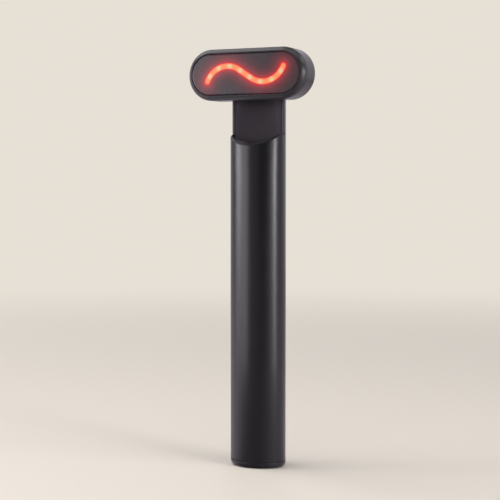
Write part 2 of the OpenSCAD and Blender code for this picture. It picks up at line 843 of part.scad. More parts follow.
module inner_frame() {
    color(soft_black)
        difference() {
            union() {
                difference() {
                    oval_ring(inner_inset, frame_wall, frame_z, frame_top_z);
                    behind(board_y - part_gap);
                    // Lightening windows over the cell
                    for (i = [1 : window_count])
                        translate([0, -half_d, cell_z + i * window_step])
                            cube([window_w, half_d, window_h], center = true);
                }
                intersection() {
                    oval_block(inner_inset, frame_z, frame_top_z);
                    union() {
                        // Shelf behind the charging socket, and a bulkhead under the cell
                        for (z = [port_inset + port_l + part_gap, charge_board_top - bulkhead_t])
                            slab(handle_w, charge_board_y, z, bulkhead_t);
                        // Bulkheads over the cell and under the motor
                        for (z = [cell_top_z + part_gap, motor_z - bulkhead_t - part_gap])
                            slab(handle_w, board_y, z, bulkhead_t);
                        // Cradle that grips the motor's boot
                        slab(handle_w, motor_y, motor_z + 2 * boot_short, motor_l - 4 * boot_short);
                        // Post for the lower board screw
                        slab(2 * post_r, board_y, lower_screw_z - post_r, 2 * post_r);
                    }
                }
            }
            translate([0, motor_y, motor_z])
                cylinder(r = motor_r + boot_wall + sleeve_fit, h = weight_z + weight_l + past - motor_z);
            across(0, lower_screw_z, screw_r, board_y - pilot_depth, board_y + past);
            // Channels for the wires beside the cell
            for (side = [-1, 1])
                translate([side * lead_x, 0, charge_lead_z - 2 * lead_bend])
                    cylinder(r = lead_r + part_gap, h = lead_top_z - charge_lead_z + 4 * lead_bend);
        }
}

module bottom_cap() {
    color(satin_black)
        difference() {
            union() {
                difference() {
                    oval_block(0, 0, cap_h);
                    fillet_tool(base_rows, closed = true);
                }
                oval_ring(inner_inset, cap_plug_wall, cap_h - overlap, sleeve_z + cap_plug_h);
            }
            translate([0, 0, -past]) linear_extrude(cap_h + 2 * past) port_shape(port_gap);
        }
}

module cap_gasket() {
    color(rubber) oval_ring(gasket_inset, inner_inset - gasket_inset - sleeve_fit, cap_h, sleeve_z);
}

// The charging socket's rounded outline, seen from below
module port_shape(grow) {
    r = port_h / 2 + grow;
    square([port_w - port_h, 2 * r], center = true);
    for (side = [-90, 90])
        rotate(side) translate([0, (port_w - port_h) / 2]) half_disc(r);
}

module charge_port() {
    color(steel)
        translate([0, 0, port_inset])
            difference() {
                linear_extrude(port_l) port_shape(0);
                difference() {
                    translate([0, 0, -past]) linear_extrude(port_l) port_shape(-port_wall);
                    // Contact tongue
                    translate([-tongue_w / 2, -tongue_t / 2, tongue_inset])
                        cube([tongue_w, tongue_t, port_l]);
                }
            }
}

module charge_board() {
    color(board_green)
        translate([-charge_board_w / 2, charge_board_y, charge_board_z])
            cube([charge_board_w, charge_board_t, charge_board_l]);
}

module main_board() {
    color(board_green)
        difference() {
            translate([-main_board_w / 2, board_y, board_z])
                cube([main_board_w, main_board_t, main_board_l]);
            for (spot = board_screw_spots)
                across(spot[0], spot[1], screw_r + screw_play, board_y - past, board_back + past);
        }
}

module board_parts() {
    color(chip_black)
        for (chip = chips)
            translate([
                chip[0] * main_board_w - chip[2] * chip_w / 2,
                board_back,
                board_z + chip[1] * main_board_l - chip[3] * chip_w / 2
            ])
                cube([chip[2] * chip_w, chip[4] * chip_w, chip[3] * chip_w]);
}

module board_screws() {
    color(steel)
        for (spot = board_screw_spots)
            translate([spot[0], board_back, spot[1]]) rotate([-90, 0, 0])
                screw(screw_head_r, screw_head_h, screw_l);
}

module tact_switch() {
    color(chip_black)
        translate([0, board_back, button_z])
            rotate([-90, 0, 0])
                difference() {
                    linear_extrude(switch_t) square(switch_w, center = true);
                    translate([0, 0, switch_t - plunger_root - button_travel - seat_gap])
                        cylinder(r = plunger_r + plunger_play, h = switch_t);
                }
}

module switch_plunger() {
    color("#8c2f2a") across(0, button_z, plunger_r, switch_back - plunger_root, plunger_back);
}

module power_button() {
    color(gloss_black)
        translate([0, 0, button_z])
            rotate([-90, 0, 0])
                difference() {
                    union() {
                        translate([0, 0, plunger_back])
                            cylinder(r = button_stem_r, h = button_floor - plunger_back);
                        translate([0, 0, button_floor]) cylinder(r = button_reach, h = button_flange_t);
                        translate([0, 0, button_floor])
                            cylinder(r = button_r, h = button_face - button_edge_r - button_floor);
                        // Rounded edge
                        translate([0, 0, button_face - button_edge_r])
                            rotate_extrude() {
                                square([button_r - button_edge_r, button_edge_r]);
                                translate([button_r - button_edge_r, 0])
                                    intersection() {
                                        circle(button_edge_r);
                                        square(button_edge_r);
                                    }
                            }
                    }
                    // Shallow dish for the fingertip
                    translate([0, 0, button_face - dish_depth + dish_r]) sphere(dish_r);
                }
}

module button_seal() {
    color(rubber)
        translate([0, 0, button_z]) rotate([-90, 0, 0])
            ring(button_r + button_play + seat_gap, button_reach, seal_back - seal_t, seal_back);
}

module battery_cell() {
    color("#3c6ea5")
        translate([0, cell_y, cell_z]) {
            cylinder(r = cell_r, h = cell_l - terminal_h);
            translate([0, 0, cell_l - terminal_h]) cylinder(r = terminal_r, h = terminal_h);
        }
}

module battery_pads() {
    color("#6a6a6a")
        intersection() {
            oval_block(inner_inset, 0, pivot_z);
            for (z = [cell_z + pad_margin, cell_top_z - pad_margin - pad_h])
                translate([-pad_w / 2, cell_y + cell_r, z]) cube([pad_w, half_d, pad_h]);
        }
}

// A quarter turn of wire that starts upwards at the origin and ends heading for +y
module wire_bend() {
    translate([0, lead_bend, 0]) rotate([90, 0, 90])
        rotate_extrude(angle = 90, start = 90) translate([lead_bend, 0]) circle(lead_r);
}

// A wire that runs up beside the cell and ends square on the main board's face
module side_lead(x, from) {
    translate([x, 0, from]) cylinder(r = lead_r, h = lead_top_z - lead_bend - from);
    translate([x, 0, lead_top_z - lead_bend]) wire_bend();
    across(x, lead_top_z, lead_r, lead_bend, board_y);
}

module battery_leads() {
    color("#b3261e") {
        side_lead(lead_x, cell_z - lead_r + lead_bend);
        // Turn and straight end under the cell
        translate([lead_x, 0, cell_z - lead_r + lead_bend])
            mirror([0, 0, 1]) rotate([0, 0, 90]) wire_bend();
        translate([lead_x - lead_bend, 0, cell_z - lead_r]) rotate([0, -90, 0])
            cylinder(r = lead_r, h = 2 * lead_bend);
    }
}

module charge_leads() {
    color("#222222") {
        side_lead(-lead_x, charge_lead_z);
        // Turn and straight end on the charging board
        translate([-lead_x, 0, charge_lead_z]) mirror([0, 0, 1]) wire_bend();
        across(-lead_x, charge_lead_z - lead_bend, lead_r, lead_bend, charge_board_y);
    }
}

module motor_can() {
    color(steel)
        translate([0, motor_y, motor_z])
            difference() {
                cylinder(r = motor_r, h = motor_l);
                translate([0, 0, motor_end_t]) cylinder(r = shaft_r + shaft_play, h = motor_l);
            }
}

module motor_boot() {
    color(rubber)
        translate([0, motor_y, motor_z])
            ring(motor_r, motor_r + boot_wall, boot_short, motor_l - boot_short);
}

module motor_rotor() {
    foot = motor_z + motor_end_t + seat_gap;
    color(brass)
        translate([0, motor_y, 0]) {
            translate([0, 0, foot]) cylinder(r = shaft_r, h = weight_z + weight_l - foot);
            translate([0, 0, weight_z])
                linear_extrude(weight_l)
                    difference() {
                        union() {
                            half_disc(weight_r);
                            circle(weight_hub_r);
                        }
                        circle(shaft_r);
                    }
        }
}

module front_washer() {
    color(natural_white)
        facing() ring(hub_r + hub_play, front_washer_r, 0, front_washer_t);
}

module thrust_washer() {
    color(steel)
        facing() ring(hub_r + hub_play, thrust_washer_r, -thrust_washer_back, -plate_t);
}

// The bundle leaves the socket in the head, passes the hub and turns down to its plug
module wire_loom() {
    color("#8f2b26") {
        facing()
            translate([0, 0, -loom_back])
                cylinder(r = loom_r, h = loom_back + socket_back + plug_wall - part_gap);
        translate([0, loom_back, pivot_z - loom_bend])
            rotate([90, 0, 90]) rotate_extrude(angle = 90) translate([loom_bend, 0]) circle(loom_r);
        translate([0, loom_y, plug_z + plug_h])
            cylinder(r = loom_r, h = pivot_z - loom_bend - plug_z - plug_h);
    }
}

module loom_plug() {
    color(natural_white)
        translate([-plug_w / 2, board_back, plug_z])
            difference() {
                cube([plug_w, loom_y + loom_r + seat_gap - board_back, plug_h]);
                // Open foot
                translate([plug_wall, plug_wall, -past])
                    cube([plug_w - 2 * plug_wall, 2 * plug_wall, plug_h / 2]);
            }
}

// Head

module rear_shell() {
    color(gloss_black)
        facing()
            difference() {
                union() {
                    round_the_head()
                        difference() {
                            translate([0, head_gap]) square([head_r, gasket_z - head_gap]);
                            translate([-past, shell_floor]) square([shell_inner_r + past, head_t]);
                            // Rounded back edge
                            difference() {
                                translate([head_r - shell_edge_r, head_gap - past])
                                    square([shell_edge_r + past, shell_edge_r + past]);
                                translate([head_r - shell_edge_r, head_gap + shell_edge_r])
                                    circle(shell_edge_r);
                            }
                        }
                    at_led_screws()
                        translate([0, 0, shell_floor - overlap])
                            cylinder(r = boss_r, h = led_board_back - shell_floor + overlap);
                    // Stop pin
                    translate([0, -stop_pin_reach, part_gap - stop_groove])
                        cylinder(r = stop_pin_r, h = stop_groove - part_gap + head_gap + overlap);
                }
                translate([0, 0, -past]) cylinder(r = hub_r + sleeve_fit, h = head_t);
                at_led_screws()
                    translate([0, 0, led_board_front - screw_l - part_gap])
                        cylinder(r = screw_r, h = screw_l);
                at_hub_screws()
                    translate([0, 0, hub_flange_top - hub_screw_l - part_gap])
                        cylinder(r = screw_r, h = screw_l);
            }
}

module seam_gasket() {
    color(rubber)
        facing()
            difference() {
                head_block(head_r - gasket_inset, gasket_z, bezel_z);
                head_block(skirt_r, gasket_z - past, bezel_z + past);
            }
}

module bezel() {
    color(soft_black)
        facing()
            round_the_head() {
                difference() {
                    translate([panel_r + panel_gap, bezel_z])
                        square([head_r - panel_r - panel_gap, bezel_band]);
                    // Rounded front edge
                    translate([head_r - bezel_edge_r, front_z - bezel_edge_r])
                        difference() {
                            square(bezel_edge_r + past);
                            circle(bezel_edge_r);
                        }
                }
                translate([panel_r - bezel_ledge, bezel_z])
                    square([bezel_ledge + panel_gap, panel_back - bezel_z]);
                translate([skirt_r - bezel_skirt_wall, bezel_z - bezel_skirt_h])
                    square([bezel_skirt_wall, bezel_skirt_h]);
            }
}

module front_panel() {
    color(smoked)
        facing()
            difference() {
                round_the_head()
                    polygon([
                        [0, panel_back], [panel_r, panel_back], [panel_r, front_z - panel_bevel],
                        [panel_r - panel_bevel, front_z], [0, front_z]
                    ]);
                translate([0, 0, panel_back - past]) linear_extrude(panel_t + 2 * past) wave_shape(wave_w);
            }
}

module light_guide() {
    color(glow_red)
        facing() {
            translate([0, 0, guide_back])
                linear_extrude(front_z - guide_back) wave_shape(wave_w - 2 * guide_fit);
            translate([0, 0, flange_back]) linear_extrude(guide_flange_t) wave_shape(guide_seat_w);
        }
}

module warming_film() {
    color("#b5793a")
        facing()
            difference() {
                head_block(panel_r - bezel_ledge - film_gap, panel_back - film_t, panel_back);
                translate([0, 0, panel_back - film_t - past])
                    linear_extrude(film_t + 2 * past) wave_shape(guide_seat_w + 2 * film_gap);
                for (spot = pin_spots)
                    translate([spot[0], spot[1], panel_back - film_t - past])
                        cylinder(r = pin_r + film_gap, h = film_t + 2 * past);
            }
}

module led_board() {
    color(board_green)
        facing()
            difference() {
                head_block(led_board_r, led_board_back, led_board_front);
                at_led_screws()
                    translate([0, 0, led_board_back - past])
                        cylinder(r = screw_r + screw_play, h = led_board_t + 2 * past);
            }
}

module leds() {
    color("#f3e3b0")
        facing()
            for (spot = led_spots)
                translate([spot[0], spot[1], led_board_front + led_h / 2])
                    cube([led_w, led_l, led_h], center = true);
}

module contact_pins() {
    color(brass)
        facing()
            for (spot = pin_spots)
                translate([spot[0], spot[1], led_board_front]) {
                    cylinder(r = pin_r, h = pin_h);
                    translate([0, 0, pin_h])
                        cylinder(r = pin_tip_r, h = panel_back - led_board_front - pin_h);
                }
}

module head_socket() {
    color(natural_white)
        facing()
            translate([-socket_w / 2, -socket_h / 2, socket_back])
                difference() {
                    cube([socket_w, socket_h, socket_t]);
                    translate([plug_wall, plug_wall, -past])
                        cube([socket_w - 2 * plug_wall, socket_h - 2 * plug_wall, plug_wall + past]);
                }
}

module led_screws() {
    color(steel)
        facing()
            at_led_screws()
                translate([0, 0, led_board_front]) screw(screw_head_r, screw_head_h, screw_l);
}

module swivel_hub() {
    color(steel)
        facing()
            difference() {
                union() {
                    translate([0, 0, -hub_back]) cylinder(r = hub_r, h = hub_back + shell_floor);
                    translate([0, 0, shell_floor]) cylinder(r = hub_flange_r, h = hub_flange_t);
                }
                translate([0, 0, -hub_back - past]) cylinder(r = hub_bore_r, h = far);
                ring(hub_r - groove_depth, hub_r + past, -clip_back - groove_play, groove_play - clip_front);
                at_hub_screws() cylinder(r = screw_r + screw_play, h = far);
            }
}

module hub_screws() {
    color(steel)
        facing()
            at_hub_screws()
                translate([0, 0, hub_flange_top]) screw(hub_screw_head_r, hub_screw_head_h, hub_screw_l);
}

module disc_spring() {
    hole_r = hub_r + 2 * hub_play;
    color(steel)
        facing()
            rotate_extrude()
                polygon([
                    [spring_r, -spring_front], [spring_r, -spring_front - spring_t],
                    [hole_r, -clip_front], [hole_r, spring_t - clip_front]
                ]);
}

module retaining_clip() {
    color(steel)
        facing()
            difference() {
                ring(hub_r - groove_depth + groove_play, clip_r, -clip_back, -clip_front);
                translate([-clip_mouth / 2, 0, -clip_back - past])
                    cube([clip_mouth, far, clip_t + 2 * past]);
            }
}

handle_sleeve();
neck_cover();
inner_frame();
bottom_cap();
cap_gasket();
charge_port();
charge_board();
main_board();
board_parts();
board_screws();
tact_switch();
loom_plug();
battery_cell();
battery_pads();
battery_leads();
charge_leads();
motor_can();
motor_boot();
front_washer();
thrust_washer();
wire_loom();
button_seal();
power_button();
switch_plunger();
motor_rotor();
rear_shell();
seam_gasket();
bezel();
front_panel();
light_guide();
warming_film();
led_board();
leds();
contact_pins();
head_socket();
led_screws();
swivel_hub();
hub_screws();
disc_spring();
retaining_clip();
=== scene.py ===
import math

import bmesh
import bpy
from mathutils import Matrix, Vector


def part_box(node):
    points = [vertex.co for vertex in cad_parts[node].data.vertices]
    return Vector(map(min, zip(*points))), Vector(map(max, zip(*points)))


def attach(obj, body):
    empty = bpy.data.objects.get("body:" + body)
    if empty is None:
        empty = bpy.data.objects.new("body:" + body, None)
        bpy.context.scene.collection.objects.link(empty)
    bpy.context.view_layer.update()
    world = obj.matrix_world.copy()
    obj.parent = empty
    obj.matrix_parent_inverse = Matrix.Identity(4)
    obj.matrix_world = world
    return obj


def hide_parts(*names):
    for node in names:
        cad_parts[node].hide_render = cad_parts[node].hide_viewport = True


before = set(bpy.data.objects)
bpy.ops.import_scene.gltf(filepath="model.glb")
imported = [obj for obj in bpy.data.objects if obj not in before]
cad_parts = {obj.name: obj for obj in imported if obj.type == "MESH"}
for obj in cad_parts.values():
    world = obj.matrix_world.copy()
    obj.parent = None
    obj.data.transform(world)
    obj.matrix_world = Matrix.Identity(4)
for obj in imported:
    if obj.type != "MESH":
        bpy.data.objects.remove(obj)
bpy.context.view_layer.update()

# Camera
# The wand is seen from the front, 26 degrees round to its right and 3 degrees above, with a long
# lens. Place and lens come from a fit to the outline in the photograph.
camera_turn, camera_dip = math.radians(25.95), math.radians(2.79)
aim_height, camera_away, camera_left, camera_down = 0.080, 0.50909, 0.00295, 0.00125
look = Vector((-math.sin(camera_turn) * math.cos(camera_dip),
               math.cos(camera_turn) * math.cos(camera_dip), -math.sin(camera_dip)))
rightward = Vector((math.cos(camera_turn), math.sin(camera_turn), 0))
upward = rightward.cross(look)
camera = bpy.data.objects.new("camera", bpy.data.cameras.new("camera"))
camera.data.sensor_width = 36
camera.data.lens = 100.8
camera.data.clip_start = 0.01
camera.matrix_world = Matrix((rightward, upward, -look)).transposed().to_4x4()
camera.matrix_world.translation = (Vector((0, 0, aim_height)) - camera_away * look
                                   - camera_left * rightward - camera_down * upward)
bpy.context.collection.objects.link(camera)
bpy.context.scene.camera = camera
bpy.context.scene.view_settings.view_transform = "Standard"


# Floor and studio
# A plain pale floor that fades into an even backdrop. Two bright soft boxes left and right of the
# wand give the satin metal its two long highlights, and wider, dimmer ones fill in all round and
# from above.
class Flow:
    """A socket in a node tree. Sums with numbers or other sockets add Math nodes."""

    def __init__(self, tree, socket):
        self.tree, self.socket = tree, socket

    def node(self, kind, settings=None, sockets=None, out=0):
        """Adds a node: its settings first, then the values or links of its sockets."""
        made = self.tree.nodes.new(kind)
        for key, value in (settings or {}).items():
            setattr(made, key, value)
        for key, value in (sockets or {}).items():
            if isinstance(value, Flow):
                self.tree.links.new(value.socket, made.inputs[key])
            else:
                made.inputs[key].default_value = value
        return Flow(self.tree, made.outputs[out])

    def math(self, operation, *values):
        return self.node("ShaderNodeMath", {"operation": operation},
                         dict(enumerate((self, *values))))

    def __add__(self, other):
        return self.math("ADD", other)

    def __sub__(self, other):
        return self.math("SUBTRACT", other)

    def __mul__(self, other):
        return self.math("MULTIPLY", other)

    def __truediv__(self, other):
        return self.math("DIVIDE", other)

    def __rsub__(self, other):
        return self.node("ShaderNodeMath", {"operation": "SUBTRACT"}, {0: other, 1: self})

    __radd__, __rmul__ = __add__, __mul__

    def __abs__(self):
        return self.math("ABSOLUTE")

    def above(self, level):
        return self.math("GREATER_THAN", level)

    def below(self, level):
        return self.math("LESS_THAN", level)

    def step(self, low, high):
        """Runs smoothly from 0 at low to 1 at high."""
        return self.node("ShaderNodeMapRange", {"interpolation_type": "SMOOTHSTEP"},
                         {"Value": self, "From Min": low, "From Max": high})

    def blend(self, first, second):
        """The first colour where this is 0 and the second where it is 1."""
        pair = [colour if isinstance(colour, Flow) else (*colour, 1) for colour in (first, second)]
        return self.node("ShaderNodeMix", {"data_type": "RGBA"},
                         {"Factor": self, 6: pair[0], 7: pair[1]}, out=2)

    def axes(self):
        """The three numbers of a vector."""
        split = self.node("ShaderNodeSeparateXYZ", None, {0: self}).socket.node
        return [Flow(self.tree, socket) for socket in split.outputs]


def finish(name, **fixed):
    """A new material: its shader with these plain values, and the piece's own coordinates."""
    material = bpy.data.materials.new(name)
    material.use_nodes = True
    shader = material.node_tree.nodes["Principled BSDF"]
    for key, value in fixed.items():
        shader.inputs[key.replace("_", " ")].default_value = value
    spot = Flow(material.node_tree, None).node("ShaderNodeTexCoord", out=3)
    return material, shader, spot


def feed(shader, **flows):
    """Links flows to the sockets of a shader or another closing node."""
    for key, flow in flows.items():
        flow.tree.links.new(flow.socket, shader.inputs[key.replace("_", " ")])


def studio(tree, depth):
    """Colour and level of the studio: the warm backdrop to the eye, neutral and dim to the rest."""
    path = tree.nodes.new("ShaderNodeLightPath").outputs
    seen, mirrored = (Flow(tree, path[name]) for name in ("Is Camera Ray", "Is Glossy Ray"))
    around = mirrored * (1.5 * depth.step(-0.3, 1.0)) + (1 - mirrored) * 0.30
    return seen.blend(neutral, backdrop), seen + (1 - seen) * around, seen


backdrop, neutral = (0.80, 0.745, 0.67), (0.73, 0.70, 0.75)
world = bpy.data.worlds.new("studio")
world.use_nodes = True
bpy.context.scene.world = world
sky = world.node_tree.nodes["Background"]
toward = Flow(world.node_tree, None).node("ShaderNodeTexCoord").axes()[1]
tone, level, _ = studio(world.node_tree, toward)
feed(sky, Color=tone, Strength=level)

floor_mesh = bmesh.new()
bmesh.ops.create_circle(floor_mesh, cap_ends=True, segments=96, radius=8)
floor = bpy.data.objects.new("floor", bpy.data.meshes.new("floor"))
floor_mesh.to_mesh(floor.data)
floor_mesh.free()
bpy.context.collection.objects.link(floor)

paper, shader, spot = finish("floor_paper", Roughness=0.6, Specular_IOR_Level=0.2)
floor.data.materials.append(paper)
away = spot.node("ShaderNodeVectorMath", {"operation": "LENGTH"}, {0: spot}, out=1)
depth = spot.axes()[1] / away
tone, level, seen = studio(spot.tree, depth)
mirrored_tone = depth.step(-1.0, -0.3).blend((0.30, 0.29, 0.30), (1, 0.96, 1))
feed(shader, Base_Color=seen.blend(mirrored_tone, (0.80, 0.772, 0.655)))
glow = away.node("ShaderNodeEmission", None, {"Color": tone, "Strength": level})
faded = seen * away.step(0.15, 0.9) + (1 - seen) * away.step(0.9, 1.6)
surface = Flow(spot.tree, shader.outputs[0])
fade = away.node("ShaderNodeMixShader", None, {0: faded, 1: surface, 2: glow})
feed(spot.tree.nodes["Material Output"], Surface=fade)


def soft_box(name, azimuth, distance, height, size, radiance, aim=0.12):
    """A rectangular lamp, placed round the wand by its azimuth from the front."""
    lamp = bpy.data.objects.new(name, bpy.data.lights.new(name, "AREA"))
    lamp.data.shape = "RECTANGLE"
    lamp.data.size, lamp.data.size_y = size
    lamp.data.energy = radiance * math.pi * size[0] * size[1]
    lamp.data.color = (1, 0.95, 1)
    angle = math.radians(azimuth)
    lamp.location = (distance * math.sin(angle), -distance * math.cos(angle), height)
    lamp.rotation_euler = (Vector((0, 0, aim)) - lamp.location).to_track_quat("-Z", "Y").to_euler()
    lamp.visible_camera = False
    bpy.context.collection.objects.link(lamp)


soft_box("left_box", azimuth=-66, distance=1.0, height=0.19, size=(0.40, 0.28), radiance=8.2)
soft_box("left_near_box", azimuth=-39, distance=0.40, height=0.13, size=(0.16, 0.26), radiance=3.3)
soft_box("right_box", azimuth=68, distance=1.0, height=0.19, size=(0.22, 0.28), radiance=18.5)
soft_box("right_wide_box", azimuth=72, distance=1.0, height=0.22, size=(0.90, 0.50), radiance=0.9)
soft_box("front_box", azimuth=-5, distance=1.0, height=0.20, size=(0.50, 0.40), radiance=0.4)
soft_box("upper_left_box", azimuth=-84, distance=0.62, height=0.91, size=(0.70, 0.70), radiance=3.2)
soft_box("upper_right_box", azimuth=82, distance=0.70, height=0.82, size=(0.40, 0.40), radiance=4)
soft_box("back_left_box", azimuth=-114, distance=1.0, height=0.22, size=(0.26, 0.50), radiance=0.5)
soft_box("top_box", azimuth=20, distance=0.35, height=1.0, size=(0.60, 0.60), radiance=1.8)


# Handle sleeve
# A drawn oval aluminium tube, bead blasted and anodised satin black. The front is milled away in
# a round scoop under the head, the cut's outer lip is rounded over and its upright edges are left
# matt, and the cut faces are painted a lighter grey for light that catches them. The back has a
# round hole for the button.
def noise(spot, size, detail=2.0):
    """Cloudy noise with blotches of about this size in metres, from 0 to 1."""
    return spot.node("ShaderNodeTexNoise", None,
                     {"Vector": spot, "Scale": 1 / size, "Detail": detail})


def bump(height, depth):
    """A normal from a height of 0 to 1 that stands for a depth in metres."""
    return height.node("ShaderNodeBump", None, {"Height": height, "Distance": depth})


def stretch(spot, *scale):
    """Coordinates scaled along each axis, for a pattern that runs one way."""
    return spot.node("ShaderNodeVectorMath", {"operation": "MULTIPLY"}, {0: spot, 1: scale})


def piece(mesh, name, body, slot, material, *replaced):
    """Makes the finished mesh a piece of the wand that stands for CAD nodes."""
    made = bpy.data.objects.new(name, bpy.data.meshes.new(name))
    bmesh.ops.recalc_face_normals(mesh, faces=mesh.faces[:])
    for face in mesh.faces:
        face.smooth = True
    mesh.to_mesh(made.data)
    mesh.free()
    made.data.set_sharp_from_angle(angle=math.radians(32))
    made.data.materials.append(material)
    bpy.context.collection.objects.link(made)
    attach(made, body)
    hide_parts(*replaced)


def middle(name):
    """The middle of a CAD node's box."""
    low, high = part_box(name)
    return (low + high) / 2


half_width, half_depth, end_radius = 0.01045, 0.0080, 0.0064
end_middle = half_width - end_radius
face_radius = (end_middle ** 2 + half_depth ** 2 - end_radius ** 2) / (2 * (half_depth - end_radius))
face_middle = face_radius - half_depth
sleeve_wall = 0.0009
sleeve_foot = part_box("handle_sleeve")[0].z
cut_depth = -0.00005                    # the front is cut away up to this depth
cut_x = end_middle + math.sqrt(end_radius ** 2 - cut_depth ** 2)
pivot_z = middle("swivel_hub").z
head_sweep = 0.02345                    # the head's ends swing round inside this radius
scoop_low, scoop_tip = 0.1170, pivot_z - math.sqrt(head_sweep ** 2 - half_width ** 2)
scoop_radius = (half_width ** 2 + (scoop_tip - scoop_low) ** 2) / (2 * (scoop_tip - scoop_low))
dome_top, dome_radius = 0.1502, 0.0120
hole_z, hole_radius = 0.0960, 0.00362
hole_rings = (0.0049, 0.0045, 0.0041, 0.0038, hole_radius)
straight_over = 0.0008                  # the wall round the hole turns straight over this width
window_half_width, window_row = 0.0053, 0.00275
window = [hole_z + row * window_row for row in (-2, -1, 0, 1, 2)]
ring_heights = (0.040, 0.080, *window, 0.105, scoop_tip)
lip_round, cut_round, edge_round = 0.00070, 0.00020, 0.00010
near_cut = half_depth / 12              # the cut's edges lie this near the handle's middle plane
sharp_angle = 0.6                       # radians


def scoop_height(x):
    """Height of the scoop's arc across the front."""
    return scoop_low + scoop_radius - math.sqrt(scoop_radius ** 2 - x ** 2)


def dome_height(x):
    """Height of the back's round top."""
    return dome_top - dome_radius + math.sqrt(dome_radius ** 2 - x ** 2)


def back_depth(x, radius):
    """Depth of the sleeve's back, outside or inside, by the radius of its arc."""
    return math.sqrt(radius ** 2 - x ** 2) - face_middle


def next_row(mesh, row):
    """Extrudes a row of edges and gives the new row with its corners, still in the same place."""
    made = bmesh.ops.extrude_edge_only(mesh, edges=row)["geom"]
    row = [item for item in made if isinstance(item, bmesh.types.BMEdge)]
    return row, {corner for edge in row for corner in edge.verts}


def sharp_edges(mesh):
    """The edges where two faces meet at a sharp angle."""
    return [edge for edge in mesh.edges if edge.calc_face_angle(0) > sharp_angle]


def round_over(mesh, edges, radius, segments):
    """Rounds edges over by a radius."""
    bmesh.ops.bevel(mesh, geom=edges, affect="EDGES", offset=radius, segments=segments, profile=0.5,
                    material=-1)


# The oval, from the cut at its left: the front's end, face and end arcs, then the back's three.
tube = bmesh.new()
join = math.atan2(end_middle, face_middle)
cut_angle = math.asin(-cut_depth / end_radius)
end = bmesh.ops.create_vert(tube, co=(-cut_x, cut_depth, sleeve_foot))["vert"]
for middle_x, middle_y, sweep, steps in (
        (-end_middle, 0, math.pi / 2 - join - cut_angle, 12), (0, face_middle, 2 * join, 36),
        (end_middle, 0, math.pi / 2 - join - cut_angle, 12),
        (end_middle, 0, math.pi / 2 - join + cut_angle, 13), (0, -face_middle, 2 * join, 36),
        (-end_middle, 0, math.pi / 2 - join + cut_angle, 13)):
    turned = bmesh.ops.spin(tube, geom=end, cent=(middle_x, middle_y, sleeve_foot), axis=(0, 0, 1),
                            angle=sweep, steps=steps)
    end = [item for item in turned["geom_last"] if isinstance(item, bmesh.types.BMVert)]
bmesh.ops.remove_doubles(tube, verts=tube.verts[:], dist=1e-6)

# All of it rises to the scoop's tip, where the front stops, and the back goes on up to its dome.
row = tube.edges[:]
for height in ring_heights:
    row, corners = next_row(tube, row)
    for corner in corners:
        corner.co.z = height
lip = [edge for edge in row if all(corner.co.y < cut_depth + 1e-6 for corner in edge.verts)]
row = [edge for edge in row if edge not in lip]
for share in (0.5, 1):
    row, corners = next_row(tube, row)
    for corner in corners:
        corner.co.z = scoop_tip + share * (dome_height(corner.co.x) - scoop_tip)

# A window is opened in the back and closed again by rings that end at the button's hole.
in_window = [face for face in tube.faces if face.calc_center_median().y > 0
             and abs(face.calc_center_median().x) < window_half_width
             and window[0] < face.calc_center_median().z < window[-1]]
around_window = {edge for face in in_window for edge in face.edges
                 if any(other not in in_window for other in edge.link_faces)}
bmesh.ops.delete(tube, geom=in_window, context="FACES")
ring = list(around_window)
for radius in hole_rings:
    circle = bmesh.ops.create_circle(tube, segments=72, radius=radius, matrix=Matrix.Translation(
        (0, 0, hole_z)) @ Matrix.Rotation(math.pi / 2, 4, "X"))["verts"]
    for corner in circle:
        corner.co.y = back_depth(corner.co.x, face_radius)
    inner = list({edge for corner in circle for edge in corner.link_edges})
    bmesh.ops.bridge_loops(tube, edges=ring + inner)
    ring = inner
bmesh.ops.recalc_face_normals(tube, faces=tube.faces[:])
bmesh.ops.solidify(tube, geom=tube.faces[:], thickness=sleeve_wall)

# The hole is made to run straight through the wall, and the front's top edge takes the scoop's arc.
for corner in tube.verts:
    x, y, z = corner.co
    straight = x / (1 - sleeve_wall / face_radius)
    share = min(1, (hole_rings[0] - math.hypot(straight, z - hole_z)) / straight_over)
    if share > 0 and 0 < y < back_depth(x, face_radius) - sleeve_wall / 2:
        corner.co.x = x + share * (straight - x)
        corner.co.y = back_depth(corner.co.x, face_radius - sleeve_wall)
for corner in tube.verts:
    if abs(corner.co.z - scoop_tip) < 1e-6 and corner.co.y < cut_depth + 1e-4:
        corner.co.z = scoop_height(corner.co.x)

# The lip is rounded over widely, the cut's upright edges less, and every other edge is just broken.
round_over(tube, lip, lip_round, 6)
cut_edges = [edge for edge in sharp_edges(tube) if all(
    abs(corner.co.y) < near_cut and corner.co.z > scoop_tip - 1e-4 for corner in edge.verts)]
round_over(tube, cut_edges, cut_round, 4)
round_over(tube, sharp_edges(tube), edge_round, 2)

anodised, shader, spot = finish("anodised_black")
blast = noise(spot, 0.00016, 3)
cloud = noise(spot, 0.014)
draw = noise(stretch(spot, 1, 1, 0.02), 0.0006)
_, y, z = spot.axes()
# The cut faces get a painted lighter grey, standing for light caught by the cut, and more roughness.
cut_face_painted_light = z.above(scoop_tip + 0.0001) * (1 - y.step(cut_depth + 0.00003, cut_depth + 0.00015))
satin = cloud.blend((0.0042, 0.0040, 0.0045), (0.0072, 0.0069, 0.0076))
feed(shader, Roughness=0.245 + 0.06 * blast + 0.05 * cloud + 0.02 * draw + 0.3 * cut_face_painted_light,
     Base_Color=cut_face_painted_light.blend(satin, (0.060, 0.056, 0.061)), Normal=bump(blast, 0.000006))
piece(tube, "sleeve", "handle", "satin_sleeve", anodised, "handle_sleeve")


# Bottom cap and its gasket
# A moulded cap with the sleeve's own satin finish closes the base. Its plug is pressed into the
# sleeve on a thin black rubber gasket, which shows as the dark line above the rounded edge.
def dress(material, *names):
    """Gives CAD nodes a material."""
    for name in names:
        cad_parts[name].data.materials.clear()
        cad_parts[name].data.materials.append(material)


